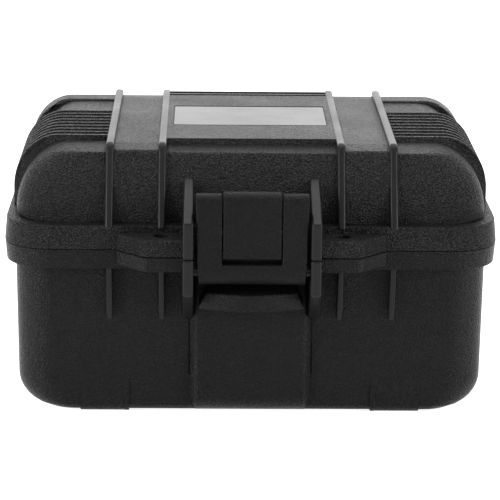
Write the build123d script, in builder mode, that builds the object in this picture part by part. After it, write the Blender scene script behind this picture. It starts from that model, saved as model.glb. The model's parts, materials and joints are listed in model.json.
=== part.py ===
import os
from math import cos, pi, radians, sin, sqrt, tan

from build123d import *

os.makedirs("parts", exist_ok=True)

# Driving sizes of the case, in mm. The case stands on its feet at Z 0 and its front faces -Y.
case_width = 300.0
rim_depth = 213.0
base_height = 106.0
lid_height = 56.0
wall = 3.0
parting_gap = 0.3
seat_gap = 0.3
pin_clearance = 0.06

# Rim flanges, which meet at the parting plane
rim_corner = 29.0
lid_rim_height = 14.6
base_rim_height = 12.1
rim_edge_round = 1.6

# Base tub
foot_height = 1.5
base_side_inset = 6.2
base_front_inset = 8.5
base_corner = 23.0
base_bottom_round = 20.0
base_draft = 0.5

# Lid dome
lid_side_inset = 8.4
lid_front_inset = 9.0
lid_front_slope = 21.6
lid_corner = 24.0
lid_side_curve_width = 34.0
lid_side_curve_height = 44.0
lid_top_round = 7.0

# Four long ribs, and the strap between the ribs of each pair
rib_positions = (54.0, 85.6)
rib_width = 5.0
rib_top_height = 59.4
rib_front_run = 22.7
rib_bend_round = 6.0
rib_edge_round = 1.6
strap_height = 1.0

# Raised centre panel with a sunk seat for the name plate
panel_top_height = 59.6
panel_start = 38.5
panel_end = 163.0
panel_flank = 2.6
panel_edge_round = 1.5
panel_rib_gap = 1.6
plate_width = 95.9
plate_depth = 55.9
plate_thickness = 1.2
plate_start = 80.9
plate_sink = 0.4
bar_width = 2.4
bar_first = 168.0
bar_pitch = 13.0

# Fluted bands at the sides of the lid
band_start = 51.5
band_reach = 5.4
band_top_height = 59.5
band_curve_width = 33.0
band_curve_height = 40.0
ridge_count = 9
flute_pitch = 8.95
flute_width = 4.0
flute_depth = 1.7
shoulder_start = 164.0
shoulder_end = 184.0

# Front latch: guard posts, pivot, frame, trigger and keeper
post_position = 38.0
post_width = 6.0
post_reach = 24.0
post_bend_height = 17.6
post_top_height = 42.0
post_low_bend = 21.7
post_foot_depth = 46.5
post_bend_round = 2.5
post_edge_round = 1.0
latch_pin_radius = 2.0
latch_pin_reach = 12.5
latch_pin_drop = 10.5
latch_top_width = 66.7
latch_bottom_width = 63.0
latch_front_reach = 22.4
latch_lean = 2.0
latch_thickness = 8.2
latch_top_height = 36.0
latch_barrel_radius = 6.8
latch_corner = 3.5
latch_brow_round = 2.6
barrel_gap_step = 1.2
crossbar_depth = 2.0
crossbar_height = 10.8
window_width = 36.0
window_bottom = -3.2
trigger_side_gap = 1.2
trigger_bottom = 1.6
trigger_rise = 1.6
trigger_brow = 5.0
trigger_thickness = 3.4
trigger_pin_radius = 1.25
trigger_pin_reach = 15.5
trigger_pin_height = 15.0
trigger_pin_bite = 6.0
trigger_lug_radius = 3.2
trigger_lug_width = 4.0
trigger_lug_position = 12.0
hook_reach = 12.0
hook_height = 31.5
hook_depth = 3.4
keeper_top = 30.2
keeper_reach = 11.5
keeper_width = 28.0
keeper_lip = 3.2
keeper_chin = 5.5
spring_wire = 0.6
spring_turns = 3
spring_play = 0.4

# Ledge under the latch
ledge_half_width = 32.0
ledge_reach = 20.0
ledge_end_reach = 2.0
ledge_top = -22.4
ledge_thickness = 10.6

# Padlock tabs
tab_start = 80.0
tab_flat_start = 61.0
tab_reach = 18.0
tab_lid_height = 10.5
tab_base_height = 9.0
padlock_hole_radius = 4.75
padlock_hole_position = 54.1
padlock_hole_reach = 5.3

# Base front: gussets under the rim, raised centre panel, skids and feet
gusset_width = 3.6
gusset_reach = 6.0
gusset_foot_reach = 4.0
gusset_bend_drop = 38.0
gusset_drop = 47.0
gusset_round = 4.0
side_gusset_reach = 4.6
side_gusset_drop = 33.0
side_gusset_spread = 92.0
front_panel_half_width = 37.6
front_panel_proud = 4.6
front_panel_flank = 4.2
front_panel_run = 40.0
skid_start = 77.0
skid_end = 104.0
skid_proud = 0.8
skid_top_drop = 44.0
skid_fade = 14.0
skid_rail_width = 3.0
skid_rail_proud = 1.5
foot_width = 24.1
foot_length = 30.0
foot_inset = 24.0
foot_seat = 0.8
foot_corner = 2.0

# Seal in the lid's groove, with the base's tongue under it
seal_inset = 5.5
groove_width = 4.4
seal_width = 4.0
seal_thickness = 2.6
tongue_width = 2.4
tongue_height = 2.0

# Rear hinges
hinge_position = 75.0
hinge_barrel_radius = 5.5
hinge_pin_radius = 2.0
hinge_reach = 6.5
hinge_lid_width = 17.0
hinge_base_width = 14.0
hinge_side_gap = 0.4

# Places worked out from the driving sizes
back_reach = hinge_reach + hinge_barrel_radius
front_y = post_reach - (rim_depth + post_reach + back_reach) / 2
back_y = front_y + rim_depth
middle_y = front_y + rim_depth / 2
part_z = base_height
base_face_z = part_z - parting_gap / 2
lid_face_z = part_z + parting_gap / 2
hinge_y = back_y + hinge_reach
latch_pin_y = front_y - latch_pin_reach
latch_pin_z = part_z - latch_pin_drop
trigger_pin_y = front_y - trigger_pin_reach
trigger_pin_z = part_z + trigger_pin_height
base_inner_width = case_width - 2 * (base_side_inset + wall)
base_inner_depth = rim_depth - 2 * (base_front_inset + wall)
base_wall_y = front_y + base_front_inset
base_foot_lean = base_height * tan(radians(base_draft))


def tub_block(width, depth, corner, top_z, bottom_z, bottom_round):
    """A tub's outer or inner form: drafted walls, round corners and a rounded bottom edge."""
    with BuildPart() as block:
        with BuildSketch(Plane.XY.offset(top_z)):
            with Locations((0, middle_y)):
                RectangleRounded(width, depth, corner)
        extrude(amount=bottom_z - top_z, taper=base_draft)
        fillet(block.faces().sort_by(Axis.Z)[0].edges(), bottom_round)
    return block.part


def rim_block(inset, low_z, high_z, rounded_face=None):
    """The rim's outline, drawn in by inset, between two heights, with one face's edge rounded."""
    with BuildPart() as block:
        with BuildSketch(Plane.XY.offset(low_z)):
            with Locations((0, middle_y)):
                RectangleRounded(case_width - 2 * inset, rim_depth - 2 * inset, rim_corner - inset)
        extrude(amount=high_z - low_z)
        if rounded_face is not None:
            fillet(block.faces().sort_by(Axis.Z)[rounded_face].edges(), rim_edge_round)
    return block.part


def lid_side_width(height):
    """Half the dome's width at a height over the parting plane, from its side's quarter ellipse."""
    foot_half = case_width / 2 - lid_side_inset
    climb = max(0.0, height - (lid_height - lid_side_curve_height)) / lid_side_curve_height
    return foot_half - lid_side_curve_width * (1 - sqrt(max(0.0, 1 - climb ** 2)))


def dome_block(inset, low_height, high_height, top_round, flat_strips=False):
    """The lid's dome, drawn in by inset: sloping front and back, sides that curve over."""
    with BuildPart() as block:
        levels = 5
        for level in range(levels + 1):
            share = sin(radians(74) * level / levels) / sin(radians(74))
            height = low_height + (high_height - low_height) * share
            shape_height = min(height + inset, lid_height * 0.985)
            half_width = lid_side_width(shape_height) - inset
            lean = (height - lid_rim_height) * tan(radians(lid_front_slope))
            half_depth = rim_depth / 2 - lid_front_inset - max(lean, 0) - inset
            with BuildSketch(Plane.XY.offset(part_z + height)):
                with Locations((0, middle_y)):
                    RectangleRounded(2 * half_width, 2 * half_depth, lid_corner - inset)
        loft(ruled=flat_strips)
        if top_round > 0:
            fillet(block.faces().sort_by(Axis.Z)[-1].edges(), top_round)
    return block.part


def spot(reach, height):
    """A point of a side outline, from its distance behind the rim's front and over the parting."""
    return (front_y + reach, part_z + height)


def side_profile_block(points, rounds, start_x, end_x, edge_round=0):
    """A plate across X from start_x to end_x with a side outline of (reach from rim front, height)."""
    with BuildPart() as block:
        with BuildSketch(Plane.YZ.offset(start_x)) as outline:
            with BuildLine():
                Polyline([spot(*point) for point in points], close=True)
            make_face()
            for corner, size in rounds:
                place = spot(*points[corner])
                near = outline.vertices().sort_by(lambda v: (v.X - place[0]) ** 2 + (v.Y - place[1]) ** 2)
                fillet(near[0], size)
        extrude(amount=end_x - start_x)
        if edge_round > 0:
            fillet(block.faces().filter_by(Axis.X).edges(), edge_round)
    return block.part


def lid_outline(foot_reach, slope_run, top_height):
    """A side outline over the lid: up the front from foot_reach, over the top and down the back."""
    foot = lid_rim_height - 2.0
    return [
        (foot_reach, foot),
        (foot_reach, lid_rim_height),
        (foot_reach + slope_run, top_height),
        (rim_depth - foot_reach - slope_run, top_height),
        (rim_depth - foot_reach, lid_rim_height),
        (rim_depth - foot_reach, foot),
    ]


def band_block(drop, start, end):
    """A stretch of one fluted band: from the outer rib over the dome's shoulder and down its side."""
    top = band_top_height - drop
    side = case_width / 2 - lid_side_inset + band_reach - drop
    with BuildPart() as block:
        with BuildSketch(Plane.XZ.offset(-(front_y + start))):
            with BuildLine():
                EllipticalCenterArc(
                    (side - band_curve_width, part_z + top - band_curve_height),
                    band_curve_width,
                    band_curve_height,
                    start_angle=0,
                    arc_size=90,
                )
                Polyline(
                    (side - band_curve_width, part_z + top),
                    (rib_positions[1], part_z + top),
                    (rib_positions[1], part_z + lid_rim_height - 1),
                    (side, part_z + lid_rim_height - 1),
                    (side, part_z + top - band_curve_height),
                )
            make_face()
        extrude(amount=-(end - start))
    return block.part


def skid_outline(proud):
    """The tub's front, bottom and back drawn out by proud, as a side outline below the rim."""
    low = foot_height - part_z - proud
    front = base_front_inset - proud
    return [
        (base_front_inset + wall, -skid_top_drop),
        (front, -skid_top_drop - skid_fade),
        (front + base_foot_lean, low),
        (rim_depth - front - base_foot_lean, low),
        (rim_depth - front, -skid_top_drop - skid_fade),
        (rim_depth - base_front_inset - wall, -skid_top_drop),
    ]


# Base shell: tub with its rim flange
base_outer = tub_block(
    case_width - 2 * base_side_inset,
    rim_depth - 2 * base_front_inset,
    base_corner,
    base_face_z - 1,
    foot_height,
    base_bottom_round,
)
base_core = tub_block(
    base_inner_width,
    base_inner_depth,
    base_corner - wall,
    base_face_z + tongue_height + 1,
    foot_height + wall,
    base_bottom_round - wall,
)
base_rim = rim_block(0, part_z - base_rim_height, base_face_z, rounded_face=0)
tongue_outer = rim_block(seal_inset - tongue_width / 2, base_face_z - 1, base_face_z + tongue_height)
tongue_inner = rim_block(seal_inset + tongue_width / 2, base_face_z, base_face_z + tongue_height + 1)
skid_rounds = ((2, base_bottom_round), (3, base_bottom_round))
skid_left = side_profile_block(skid_outline(skid_proud), skid_rounds, -skid_end, -skid_start)
rail_left = side_profile_block(
    skid_outline(skid_rail_proud), skid_rounds, -skid_start, -skid_start + skid_rail_width
)
panel_foot_z = foot_height - part_z - skid_proud
with BuildPart() as front_panel:
    add(
        side_profile_block(
            [
                (base_front_inset - front_panel_proud, -base_rim_height),
                (base_front_inset - front_panel_proud, panel_foot_z),
                (base_front_inset + front_panel_run, panel_foot_z),
                (base_front_inset + front_panel_run, -base_rim_height),
            ],
            ((1, base_bottom_round),),
            -front_panel_half_width,
            front_panel_half_width,
        )
    )
    flank_edges = front_panel.faces().filter_by(Axis.X).edges()
    chamfer(
        flank_edges.filter_by(Axis.Z).group_by(Axis.Y)[0]
        + flank_edges.filter_by(GeomType.CIRCLE)
        + flank_edges.filter_by(Axis.Y).group_by(Axis.Z)[0],
        front_panel_flank,
    )
gusset_outline = [
    (base_front_inset + wall / 2, -base_rim_height + 1),
    (base_front_inset - gusset_reach, -base_rim_height + 1),
    (base_front_inset - gusset_foot_reach, -gusset_bend_drop),
    (base_front_inset + wall / 2, -gusset_drop),
]
base_post_outline = [
    (base_front_inset + wall / 2, -parting_gap / 2),
    (-post_reach, -parting_gap / 2),
    (-post_reach, -post_low_bend),
    (base_front_inset + wall / 2, -post_foot_depth),
]
base_ribs = []
for side in (-1, 1):
    for position in rib_positions:
        centre = side * position
        base_ribs.append(
            side_profile_block(
                gusset_outline, ((2, gusset_round),), centre - gusset_width / 2, centre + gusset_width / 2
            )
        )
    post_centre = side * post_position
    base_ribs.append(
        side_profile_block(
            base_post_outline,
            ((2, post_bend_round),),
            post_centre - post_width / 2,
            post_centre + post_width / 2,
            post_edge_round,
        )
    )


def side_gusset(side, row):
    """A short tapered gusset under the rim on one of the tub's side walls."""
    wall_x = case_width / 2 - base_side_inset
    start_y = middle_y + row * side_gusset_spread / 2 - gusset_width / 2
    with BuildPart() as gusset:
        with BuildSketch(Plane.XZ.offset(-start_y)):
            with BuildLine():
                Polyline(
                    (side * (wall_x - wall / 2), part_z - base_rim_height + 1),
                    (side * (wall_x + side_gusset_reach), part_z - base_rim_height + 1),
                    (side * (wall_x - wall / 2), part_z - side_gusset_drop),
                    close=True,
                )
            make_face()
        extrude(amount=-gusset_width)
    return gusset.part


def tab_block(low_z, high_z):
    """The left padlock tab: an S-shaped run out of the rim into a flat front up to the guard post."""
    with BuildPart() as block:
        with BuildSketch(Plane.XY.offset(low_z)):
            with BuildLine():
                run = Spline(
                    (-tab_start, front_y),
                    (-tab_flat_start, front_y - tab_reach),
                    tangents=((1, 0), (1, 0)),
                    tangent_scalars=(1.5, 1.0),
                )
                Line(run @ 1, (-post_position, front_y - tab_reach))
                Line((-post_position, front_y - tab_reach), (-post_position, front_y + 3))
                Line((-post_position, front_y + 3), (-tab_start, front_y + 3))
                Line((-tab_start, front_y + 3), run @ 0)
            make_face()
        extrude(amount=high_z - low_z)
    return block.part


base_tab = tab_block(base_face_z - tab_base_height, base_face_z)
lid_tab = tab_block(lid_face_z, part_z + tab_lid_height)


def hinge_knuckle(centre, width, leaf_low, leaf_high):
    """One knuckle on the hinge axis, with the leaf that ties it to its rim."""
    with BuildPart() as knuckle:
        with BuildSketch(Plane.YZ.offset(centre - width / 2)):
            with Locations((hinge_y, part_z)):
                Circle(hinge_barrel_radius)
            with BuildLine():
                Polyline(
                    (back_y - 1.5, part_z + leaf_low),
                    (hinge_y, part_z + leaf_low),
                    (hinge_y, part_z + leaf_high),
                    (back_y - 1.5, part_z + leaf_high),
                    close=True,
                )
            make_face()
        extrude(amount=width)
    return knuckle.part


def bore_block(y, z, radius, half_length):
    """A round bar along X, centred on X 0."""
    with BuildPart() as bar:
        with BuildSketch(Plane.YZ.offset(-half_length)):
            with Locations((y, z)):
                Circle(radius)
        extrude(amount=2 * half_length)
    return bar.part


def padlock_bore(side):
    """The padlock hole through both tabs on one side."""
    with BuildPart() as bore:
        with BuildSketch(Plane.XY.offset(part_z - base_rim_height - 1)):
            with Locations((side * padlock_hole_position, front_y - padlock_hole_reach)):
                Circle(padlock_hole_radius)
        extrude(amount=base_rim_height + lid_rim_height + 2)
    return bore.part


def foot_block(side, row):
    """One flat foot pad, whose upper part sits in a pocket in the base."""
    foot_x = side * (skid_start + skid_end) / 2
    foot_y = middle_y + row * (rim_depth / 2 - foot_inset - foot_length / 2)
    with BuildPart() as pad:
        with BuildSketch():
            with Locations((foot_x, foot_y)):
                RectangleRounded(foot_width, foot_length, foot_corner)
        extrude(amount=foot_height + foot_seat)
    return pad.part


base_knuckle_shift = (hinge_lid_width + hinge_base_width) / 2 + hinge_side_gap
hinge_half_width = base_knuckle_shift + hinge_base_width / 2


def hinge_pin_block(side, radius):
    """One hinge's pin, as long as its three knuckles."""
    with BuildPart() as pin:
        with BuildSketch(Plane.YZ.offset(side * hinge_position - hinge_half_width)):
            with Locations((hinge_y, part_z)):
                Circle(radius)
        extrude(amount=2 * hinge_half_width)
    return pin.part


with BuildPart() as base_shell:
    add(base_outer)
    add(base_rim)
    add(tongue_outer)
    add(tongue_inner, mode=Mode.SUBTRACT)
    add(front_panel.part)
    add(skid_left)
    add(rail_left)
    add(mirror(skid_left, about=Plane.YZ, mode=Mode.PRIVATE))
    add(mirror(rail_left, about=Plane.YZ, mode=Mode.PRIVATE))
    for rib in base_ribs:
        add(rib)
    add(base_tab)
    add(mirror(base_tab, about=Plane.YZ, mode=Mode.PRIVATE))
    with BuildSketch(Plane.XY.offset(part_z + ledge_top)):
        with BuildLine():
            ThreePointArc(
                (-ledge_half_width, front_y - ledge_end_reach),
                (0, front_y - ledge_reach),
                (ledge_half_width, front_y - ledge_end_reach),
            )
            Polyline(
                (ledge_half_width, front_y - ledge_end_reach),
                (ledge_half_width, base_wall_y + 1),
                (-ledge_half_width, base_wall_y + 1),
                (-ledge_half_width, front_y - ledge_end_reach),
            )
        make_face()
    extrude(amount=-ledge_thickness)
    for side in (-1, 1):
        for shift in (-base_knuckle_shift, base_knuckle_shift):
            add(hinge_knuckle(side * hinge_position + shift, hinge_base_width, -base_rim_height, 0))
        for row in (-1, 1):
            add(side_gusset(side, row))
    add(base_core, mode=Mode.SUBTRACT)
    add(bore_block(latch_pin_y, latch_pin_z, latch_pin_radius, post_position + post_width), mode=Mode.SUBTRACT)
    for side in (-1, 1):
        add(hinge_pin_block(side, hinge_pin_radius), mode=Mode.SUBTRACT)
        add(padlock_bore(side), mode=Mode.SUBTRACT)
        for row in (-1, 1):
            add(foot_block(side, row), mode=Mode.SUBTRACT)

# Lid shell: domed cover with its rim flange, ribs, fluted bands and centre panel
dome_slope = tan(radians(lid_front_slope))
dome_run = (lid_height - lid_rim_height) * dome_slope
groove_roof_z = base_face_z + tongue_height + seat_gap + seal_thickness
lid_rim = rim_block(0, lid_face_z, part_z + lid_rim_height, rounded_face=-1)
lid_dome = dome_block(0, lid_rim_height - 1.0, lid_height, lid_top_round)
lid_core = dome_block(wall, lid_rim_height - 1.0, lid_height - wall, 0, flat_strips=True)
groove_outer = rim_block(seal_inset - groove_width / 2, lid_face_z - 1, groove_roof_z)
groove_inner = rim_block(seal_inset + groove_width / 2, lid_face_z - 2, groove_roof_z + 1)
strap_outline = lid_outline(
    lid_front_inset - strap_height / cos(radians(lid_front_slope)),
    dome_run + strap_height * dome_slope,
    lid_height + strap_height,
)
lid_ribs = []
for side in (-1, 1):
    for position in rib_positions:
        lid_ribs.append(
            side_profile_block(
                lid_outline(0.6, rib_front_run - 0.6, rib_top_height),
                ((2, rib_bend_round), (3, rib_bend_round)),
                side * position - rib_width / 2,
                side * position + rib_width / 2,
                rib_edge_round,
            )
        )
    strap_low, strap_high = sorted((side * rib_positions[0], side * rib_positions[1]))
    lid_ribs.append(
        side_profile_block(
            strap_outline,
            ((2, lid_top_round + strap_height), (3, lid_top_round + strap_height)),
            strap_low,
            strap_high,
        )
    )
    lid_ribs.append(
        side_profile_block(
            [
                (-post_reach, parting_gap / 2),
                (-post_reach, post_bend_height),
                (lid_front_inset + (post_top_height - lid_rim_height) * dome_slope + 1.0, post_top_height + 0.6),
                (lid_front_inset + wall / 2, lid_rim_height - 1),
                (wall, parting_gap / 2),
            ],
            ((1, post_bend_round),),
            side * post_position - post_width / 2,
            side * post_position + post_width / 2,
            post_edge_round,
        )
    )
panel_half_width = rib_positions[0] - rib_width / 2 - panel_rib_gap
centre_panel = side_profile_block(
    [
        (panel_start, lid_height - wall / 2),
        (panel_start + panel_flank, panel_top_height),
        (panel_end - panel_flank, panel_top_height),
        (panel_end, lid_height - wall / 2),
    ],
    ((1, panel_edge_round), (2, panel_edge_round)),
    -panel_half_width,
    panel_half_width,
)
keeper = side_profile_block(
    [
        (lid_front_inset + 2 * wall, keeper_top),
        (-keeper_reach, keeper_top),
        (-keeper_reach, keeper_top - keeper_lip),
        (-keeper_reach + keeper_lip, keeper_top - keeper_chin),
        (lid_front_inset + wall, lid_rim_height + wall),
    ],
    ((1, 0.8), (2, 1.5)),
    -keeper_width / 2,
    keeper_width / 2,
)


def plate_block(grow, low_height, high_height):
    """The name plate's outline, grown on every side, between two heights on the centre panel."""
    with BuildPart() as block:
        with BuildSketch(Plane.XY.offset(part_z + low_height)):
            with Locations((0, front_y + plate_start + plate_depth / 2)):
                RectangleRounded(plate_width + 2 * grow, plate_depth + 2 * grow, 1.5)
        extrude(amount=high_height - low_height)
    return block.part


plate_low = panel_top_height - plate_sink - plate_thickness
band_end = band_start + ridge_count * flute_pitch - flute_width
lid_bands = [
    band_block(flute_depth, band_start, band_end),
    band_block(0, shoulder_start, shoulder_end),
]
for ridge in range(ridge_count):
    ridge_start = band_start + ridge * flute_pitch
    lid_bands.append(band_block(0, ridge_start, ridge_start + flute_pitch - flute_width))

with BuildPart() as lid_shell:
    add(lid_rim)
    add(lid_dome)
    for rib in lid_ribs:
        add(rib)
    for band in lid_bands:
        add(band)
        add(mirror(band, about=Plane.YZ, mode=Mode.PRIVATE))
    for side in (-1, 1):
        add(hinge_knuckle(side * hinge_position, hinge_lid_width, parting_gap / 2, lid_rim_height))
    add(centre_panel)
    for bar in range(2):
        with BuildSketch(Plane.XY.offset(part_z + lid_height - wall)):
            with Locations((0, front_y + bar_first + bar * bar_pitch)):
                Rectangle(2 * panel_half_width, bar_width)
        extrude(amount=wall + panel_top_height - lid_height)
    add(keeper)
    add(lid_tab)
    add(mirror(lid_tab, about=Plane.YZ, mode=Mode.PRIVATE))
    add(lid_core, mode=Mode.SUBTRACT)
    with BuildSketch(Plane.XY.offset(lid_face_z - 1)):
        with Locations((0, middle_y)):
            RectangleRounded(
                case_width - 2 * (lid_side_inset + wall),
                rim_depth - 2 * (lid_front_inset + wall),
                lid_corner - wall,
            )
    extrude(amount=lid_rim_height + 0.5, mode=Mode.SUBTRACT)
    add(groove_outer - groove_inner, mode=Mode.SUBTRACT)
    add(plate_block(0.15, plate_low, panel_top_height + 1), mode=Mode.SUBTRACT)
    for side in (-1, 1):
        add(padlock_bore(side), mode=Mode.SUBTRACT)
        add(hinge_pin_block(side, hinge_pin_radius + pin_clearance), mode=Mode.SUBTRACT)

with BuildPart() as name_plate:
    add(plate_block(0, plate_low, panel_top_height - plate_sink))

# Seal: a rubber cord of flat section that fills the roof of the lid's groove
with BuildPart() as lid_seal:
    add(rim_block(seal_inset - seal_width / 2, groove_roof_z - seal_thickness, groove_roof_z))
    add(
        rim_block(seal_inset + seal_width / 2, groove_roof_z - seal_thickness - 1, groove_roof_z + 1),
        mode=Mode.SUBTRACT,
    )


def latch_face(height):
    """How far in front of the rim the latch's front face stands at a height, with its lean."""
    rise = (height - window_bottom) / (latch_top_height - window_bottom)
    return -latch_front_reach + latch_lean * rise


# Latch frame: a U round the trigger's window, hinged low on the steel pin
latch_round_start = -latch_pin_drop + 3.5
barrel_low = -latch_pin_drop - latch_barrel_radius
with BuildPart() as latch_frame:
    with BuildSketch(Plane.YZ.offset(-latch_top_width / 2)):
        with BuildLine():
            front = Line(
                spot(latch_face(latch_top_height), latch_top_height),
                spot(latch_face(latch_round_start), latch_round_start),
            )
            under = TangentArc(front @ 1, spot(-latch_pin_reach, barrel_low), tangent=front % 1)
            barrel = ThreePointArc(
                under @ 1,
                spot(-latch_pin_reach + latch_barrel_radius, -latch_pin_drop),
                spot(
                    -latch_pin_reach - barrel_gap_step,
                    -latch_pin_drop + sqrt(latch_barrel_radius ** 2 - barrel_gap_step ** 2),
                ),
            )
            Polyline(
                barrel @ 1,
                spot(latch_face(latch_top_height) + latch_thickness, latch_top_height - 2.5),
                spot(latch_face(latch_top_height) + latch_thickness - 2.5, latch_top_height),
                front @ 0,
            )
        make_face()
    extrude(amount=latch_top_width)
    fillet(
        latch_frame.edges().filter_by(Axis.X).group_by(Axis.Z)[-1].sort_by(Axis.Y)[0],
        latch_brow_round,
    )
    with BuildSketch(Plane.XZ.offset(-front_y)) as latch_front_outline:
        with BuildLine():
            Polyline(
                (-latch_bottom_width / 2, part_z + barrel_low - 1),
                (-latch_top_width / 2, part_z + latch_top_height),
                (latch_top_width / 2, part_z + latch_top_height),
                (latch_bottom_width / 2, part_z + barrel_low - 1),
                close=True,
            )
        make_face()
        fillet(latch_front_outline.vertices().group_by(Axis.Y)[-1], latch_corner)
    extrude(amount=post_reach * 2, both=True, mode=Mode.INTERSECT)
    with BuildSketch(Plane.XZ.offset(-front_y)):
        with Locations((0, part_z + window_bottom + latch_top_height)):
            Rectangle(window_width, 2 * latch_top_height)
    extrude(amount=post_reach * 2, mode=Mode.SUBTRACT)
    with BuildSketch(Plane.XY.offset(part_z + window_bottom - 0.6)):
        with Locations((0, front_y - latch_pin_reach - barrel_gap_step)):
            Rectangle(window_width, crossbar_depth)
    extrude(amount=crossbar_height)
    add(bore_block(latch_pin_y, latch_pin_z, latch_pin_radius + pin_clearance, latch_top_width), mode=Mode.SUBTRACT)
    add(
        bore_block(trigger_pin_y, trigger_pin_z, trigger_pin_radius, window_width / 2 + trigger_pin_bite),
        mode=Mode.SUBTRACT,
    )

# Latch trigger: a rocker plate flush with the frame, two lugs on its pin and a hook over its top
trigger_width = window_width - 2 * trigger_side_gap
trigger_top = latch_top_height + trigger_rise
with BuildPart() as latch_trigger:
    with BuildSketch(Plane.YZ.offset(-trigger_width / 2)):
        with BuildLine():
            face = Line(
                spot(latch_face(trigger_bottom), trigger_bottom),
                spot(latch_face(trigger_top - trigger_brow), trigger_top - trigger_brow),
            )
            brow = TangentArc(face @ 1, spot(latch_face(trigger_top) + 4.2, trigger_top), tangent=face % 1)
            Polyline(
                brow @ 1,
                spot(-hook_reach, trigger_top - 1.2),
                spot(-hook_reach, hook_height),
                spot(-hook_reach - hook_depth, hook_height + 0.3),
                spot(latch_face(hook_height) + trigger_thickness, hook_height - 2.2),
                spot(latch_face(trigger_bottom) + trigger_thickness, trigger_bottom),
                face @ 0,
            )
        make_face()
    extrude(amount=trigger_width)
    for side in (-1, 1):
        with BuildSketch(Plane.YZ.offset(side * trigger_lug_position - trigger_lug_width / 2)):
            with Locations((trigger_pin_y, trigger_pin_z)):
                Circle(trigger_lug_radius)
        extrude(amount=trigger_lug_width)
    add(
        bore_block(trigger_pin_y, trigger_pin_z, trigger_pin_radius + pin_clearance, trigger_width),
        mode=Mode.SUBTRACT,
    )

# Steel pins
with BuildPart() as latch_pin:
    add(bore_block(latch_pin_y, latch_pin_z, latch_pin_radius, post_position + post_width / 2))

with BuildPart() as trigger_pin:
    add(bore_block(trigger_pin_y, trigger_pin_z, trigger_pin_radius, window_width / 2 + trigger_pin_bite))

# Return spring: a small coil round the trigger's pin, between its lugs, in half turns of six-sided wire
spring_radius = trigger_pin_radius + spring_play + spring_wire / 2
spring_pitch = spring_wire * 1.7
spring_start = -spring_turns * spring_pitch / 2


def coil_spot(turns):
    """The coil's centre line at a count of turns from its start."""
    return (
        spring_start + turns * spring_pitch,
        trigger_pin_y + spring_radius * cos(2 * pi * turns),
        trigger_pin_z + spring_radius * sin(2 * pi * turns),
    )


with BuildPart() as trigger_spring:
    for half in range(2 * spring_turns):
        start = Vector(*coil_spot(half / 2))
        end = Vector(*coil_spot(half / 2 + 0.5))
        way_round = Vector(0, 0, 1 - 2 * (half % 2))
        with BuildSketch(Plane(origin=start, z_dir=way_round)):
            RegularPolygon(spring_wire / 2, side_count=6)
        revolve(axis=Axis((start + end) / 2, (end - start).cross(way_round)), revolution_arc=180)

nodes = {
    "base_shell": base_shell.part,
    "lid_shell": lid_shell.part,
    "lid_seal": lid_seal.part,
    "name_plate": name_plate.part,
    "latch_frame": latch_frame.part,
    "latch_trigger": latch_trigger.part,
    "latch_pin": latch_pin.part,
    "trigger_pin": trigger_pin.part,
    "trigger_spring": trigger_spring.part,
}
for side, hand in ((-1, "left"), (1, "right")):
    nodes["hinge_pin_" + hand] = hinge_pin_block(side, hinge_pin_radius)
    for row, end in ((-1, "front"), (1, "back")):
        nodes["foot_pad_" + end + "_" + hand] = foot_block(side, row)

for name, piece in nodes.items():
    piece.label = name
    export_step(piece, "parts/" + name + ".step")
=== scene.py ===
import math
import json

import bmesh
import bpy
from mathutils import Matrix, Vector


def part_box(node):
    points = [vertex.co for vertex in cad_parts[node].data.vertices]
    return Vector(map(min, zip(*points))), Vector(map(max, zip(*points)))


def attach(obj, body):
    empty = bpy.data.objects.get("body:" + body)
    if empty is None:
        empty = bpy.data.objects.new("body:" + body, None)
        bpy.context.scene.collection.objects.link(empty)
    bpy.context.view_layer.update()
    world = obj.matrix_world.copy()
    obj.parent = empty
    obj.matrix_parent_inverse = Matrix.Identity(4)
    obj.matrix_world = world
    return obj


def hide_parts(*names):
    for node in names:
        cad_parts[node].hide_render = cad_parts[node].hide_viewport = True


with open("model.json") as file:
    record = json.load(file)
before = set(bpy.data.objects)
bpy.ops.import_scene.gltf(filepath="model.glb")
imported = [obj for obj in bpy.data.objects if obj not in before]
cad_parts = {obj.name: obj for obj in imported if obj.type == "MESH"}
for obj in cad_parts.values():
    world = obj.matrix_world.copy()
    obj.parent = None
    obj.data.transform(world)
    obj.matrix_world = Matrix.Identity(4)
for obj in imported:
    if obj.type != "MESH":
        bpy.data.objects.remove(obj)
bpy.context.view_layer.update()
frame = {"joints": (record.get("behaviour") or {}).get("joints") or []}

# Camera, floor and light. The case stands on a white paper sweep and is seen from a little above
# its front through a long lens. Soft boxes hang over it, behind it and before both its sides.
joints = {joint["name"]: joint for joint in frame["joints"]}
part_z = joints["lid_hinge"]["pos_m"][2]
latch_pin_reach = 0.0125
front_y = joints["latch_hinge"]["pos_m"][1] + latch_pin_reach

camera_distance = 1.4186
camera_rise = math.radians(15.2)
camera_turn = math.radians(1.12)
camera_roll = math.radians(0.61)
aim = Vector((-0.00098, front_y, part_z + 0.00034))
ahead = Vector(
    (
        math.sin(camera_turn) * math.cos(camera_rise),
        math.cos(camera_turn) * math.cos(camera_rise),
        -math.sin(camera_rise),
    )
)
level_right = Vector((math.cos(camera_turn), -math.sin(camera_turn), 0))
level_up = level_right.cross(ahead)
right = level_right * math.cos(camera_roll) + level_up * math.sin(camera_roll)
up = level_up * math.cos(camera_roll) - level_right * math.sin(camera_roll)
bpy.ops.object.camera_add()
camera = bpy.context.object
camera.data.lens = 170.3
camera.data.sensor_width = 36
camera_turned = Matrix((right, up, -ahead)).transposed().to_4x4()
camera.matrix_world = Matrix.Translation(aim - ahead * camera_distance) @ camera_turned
bpy.context.scene.camera = camera
bpy.context.scene.view_settings.view_transform = "Standard"


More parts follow.
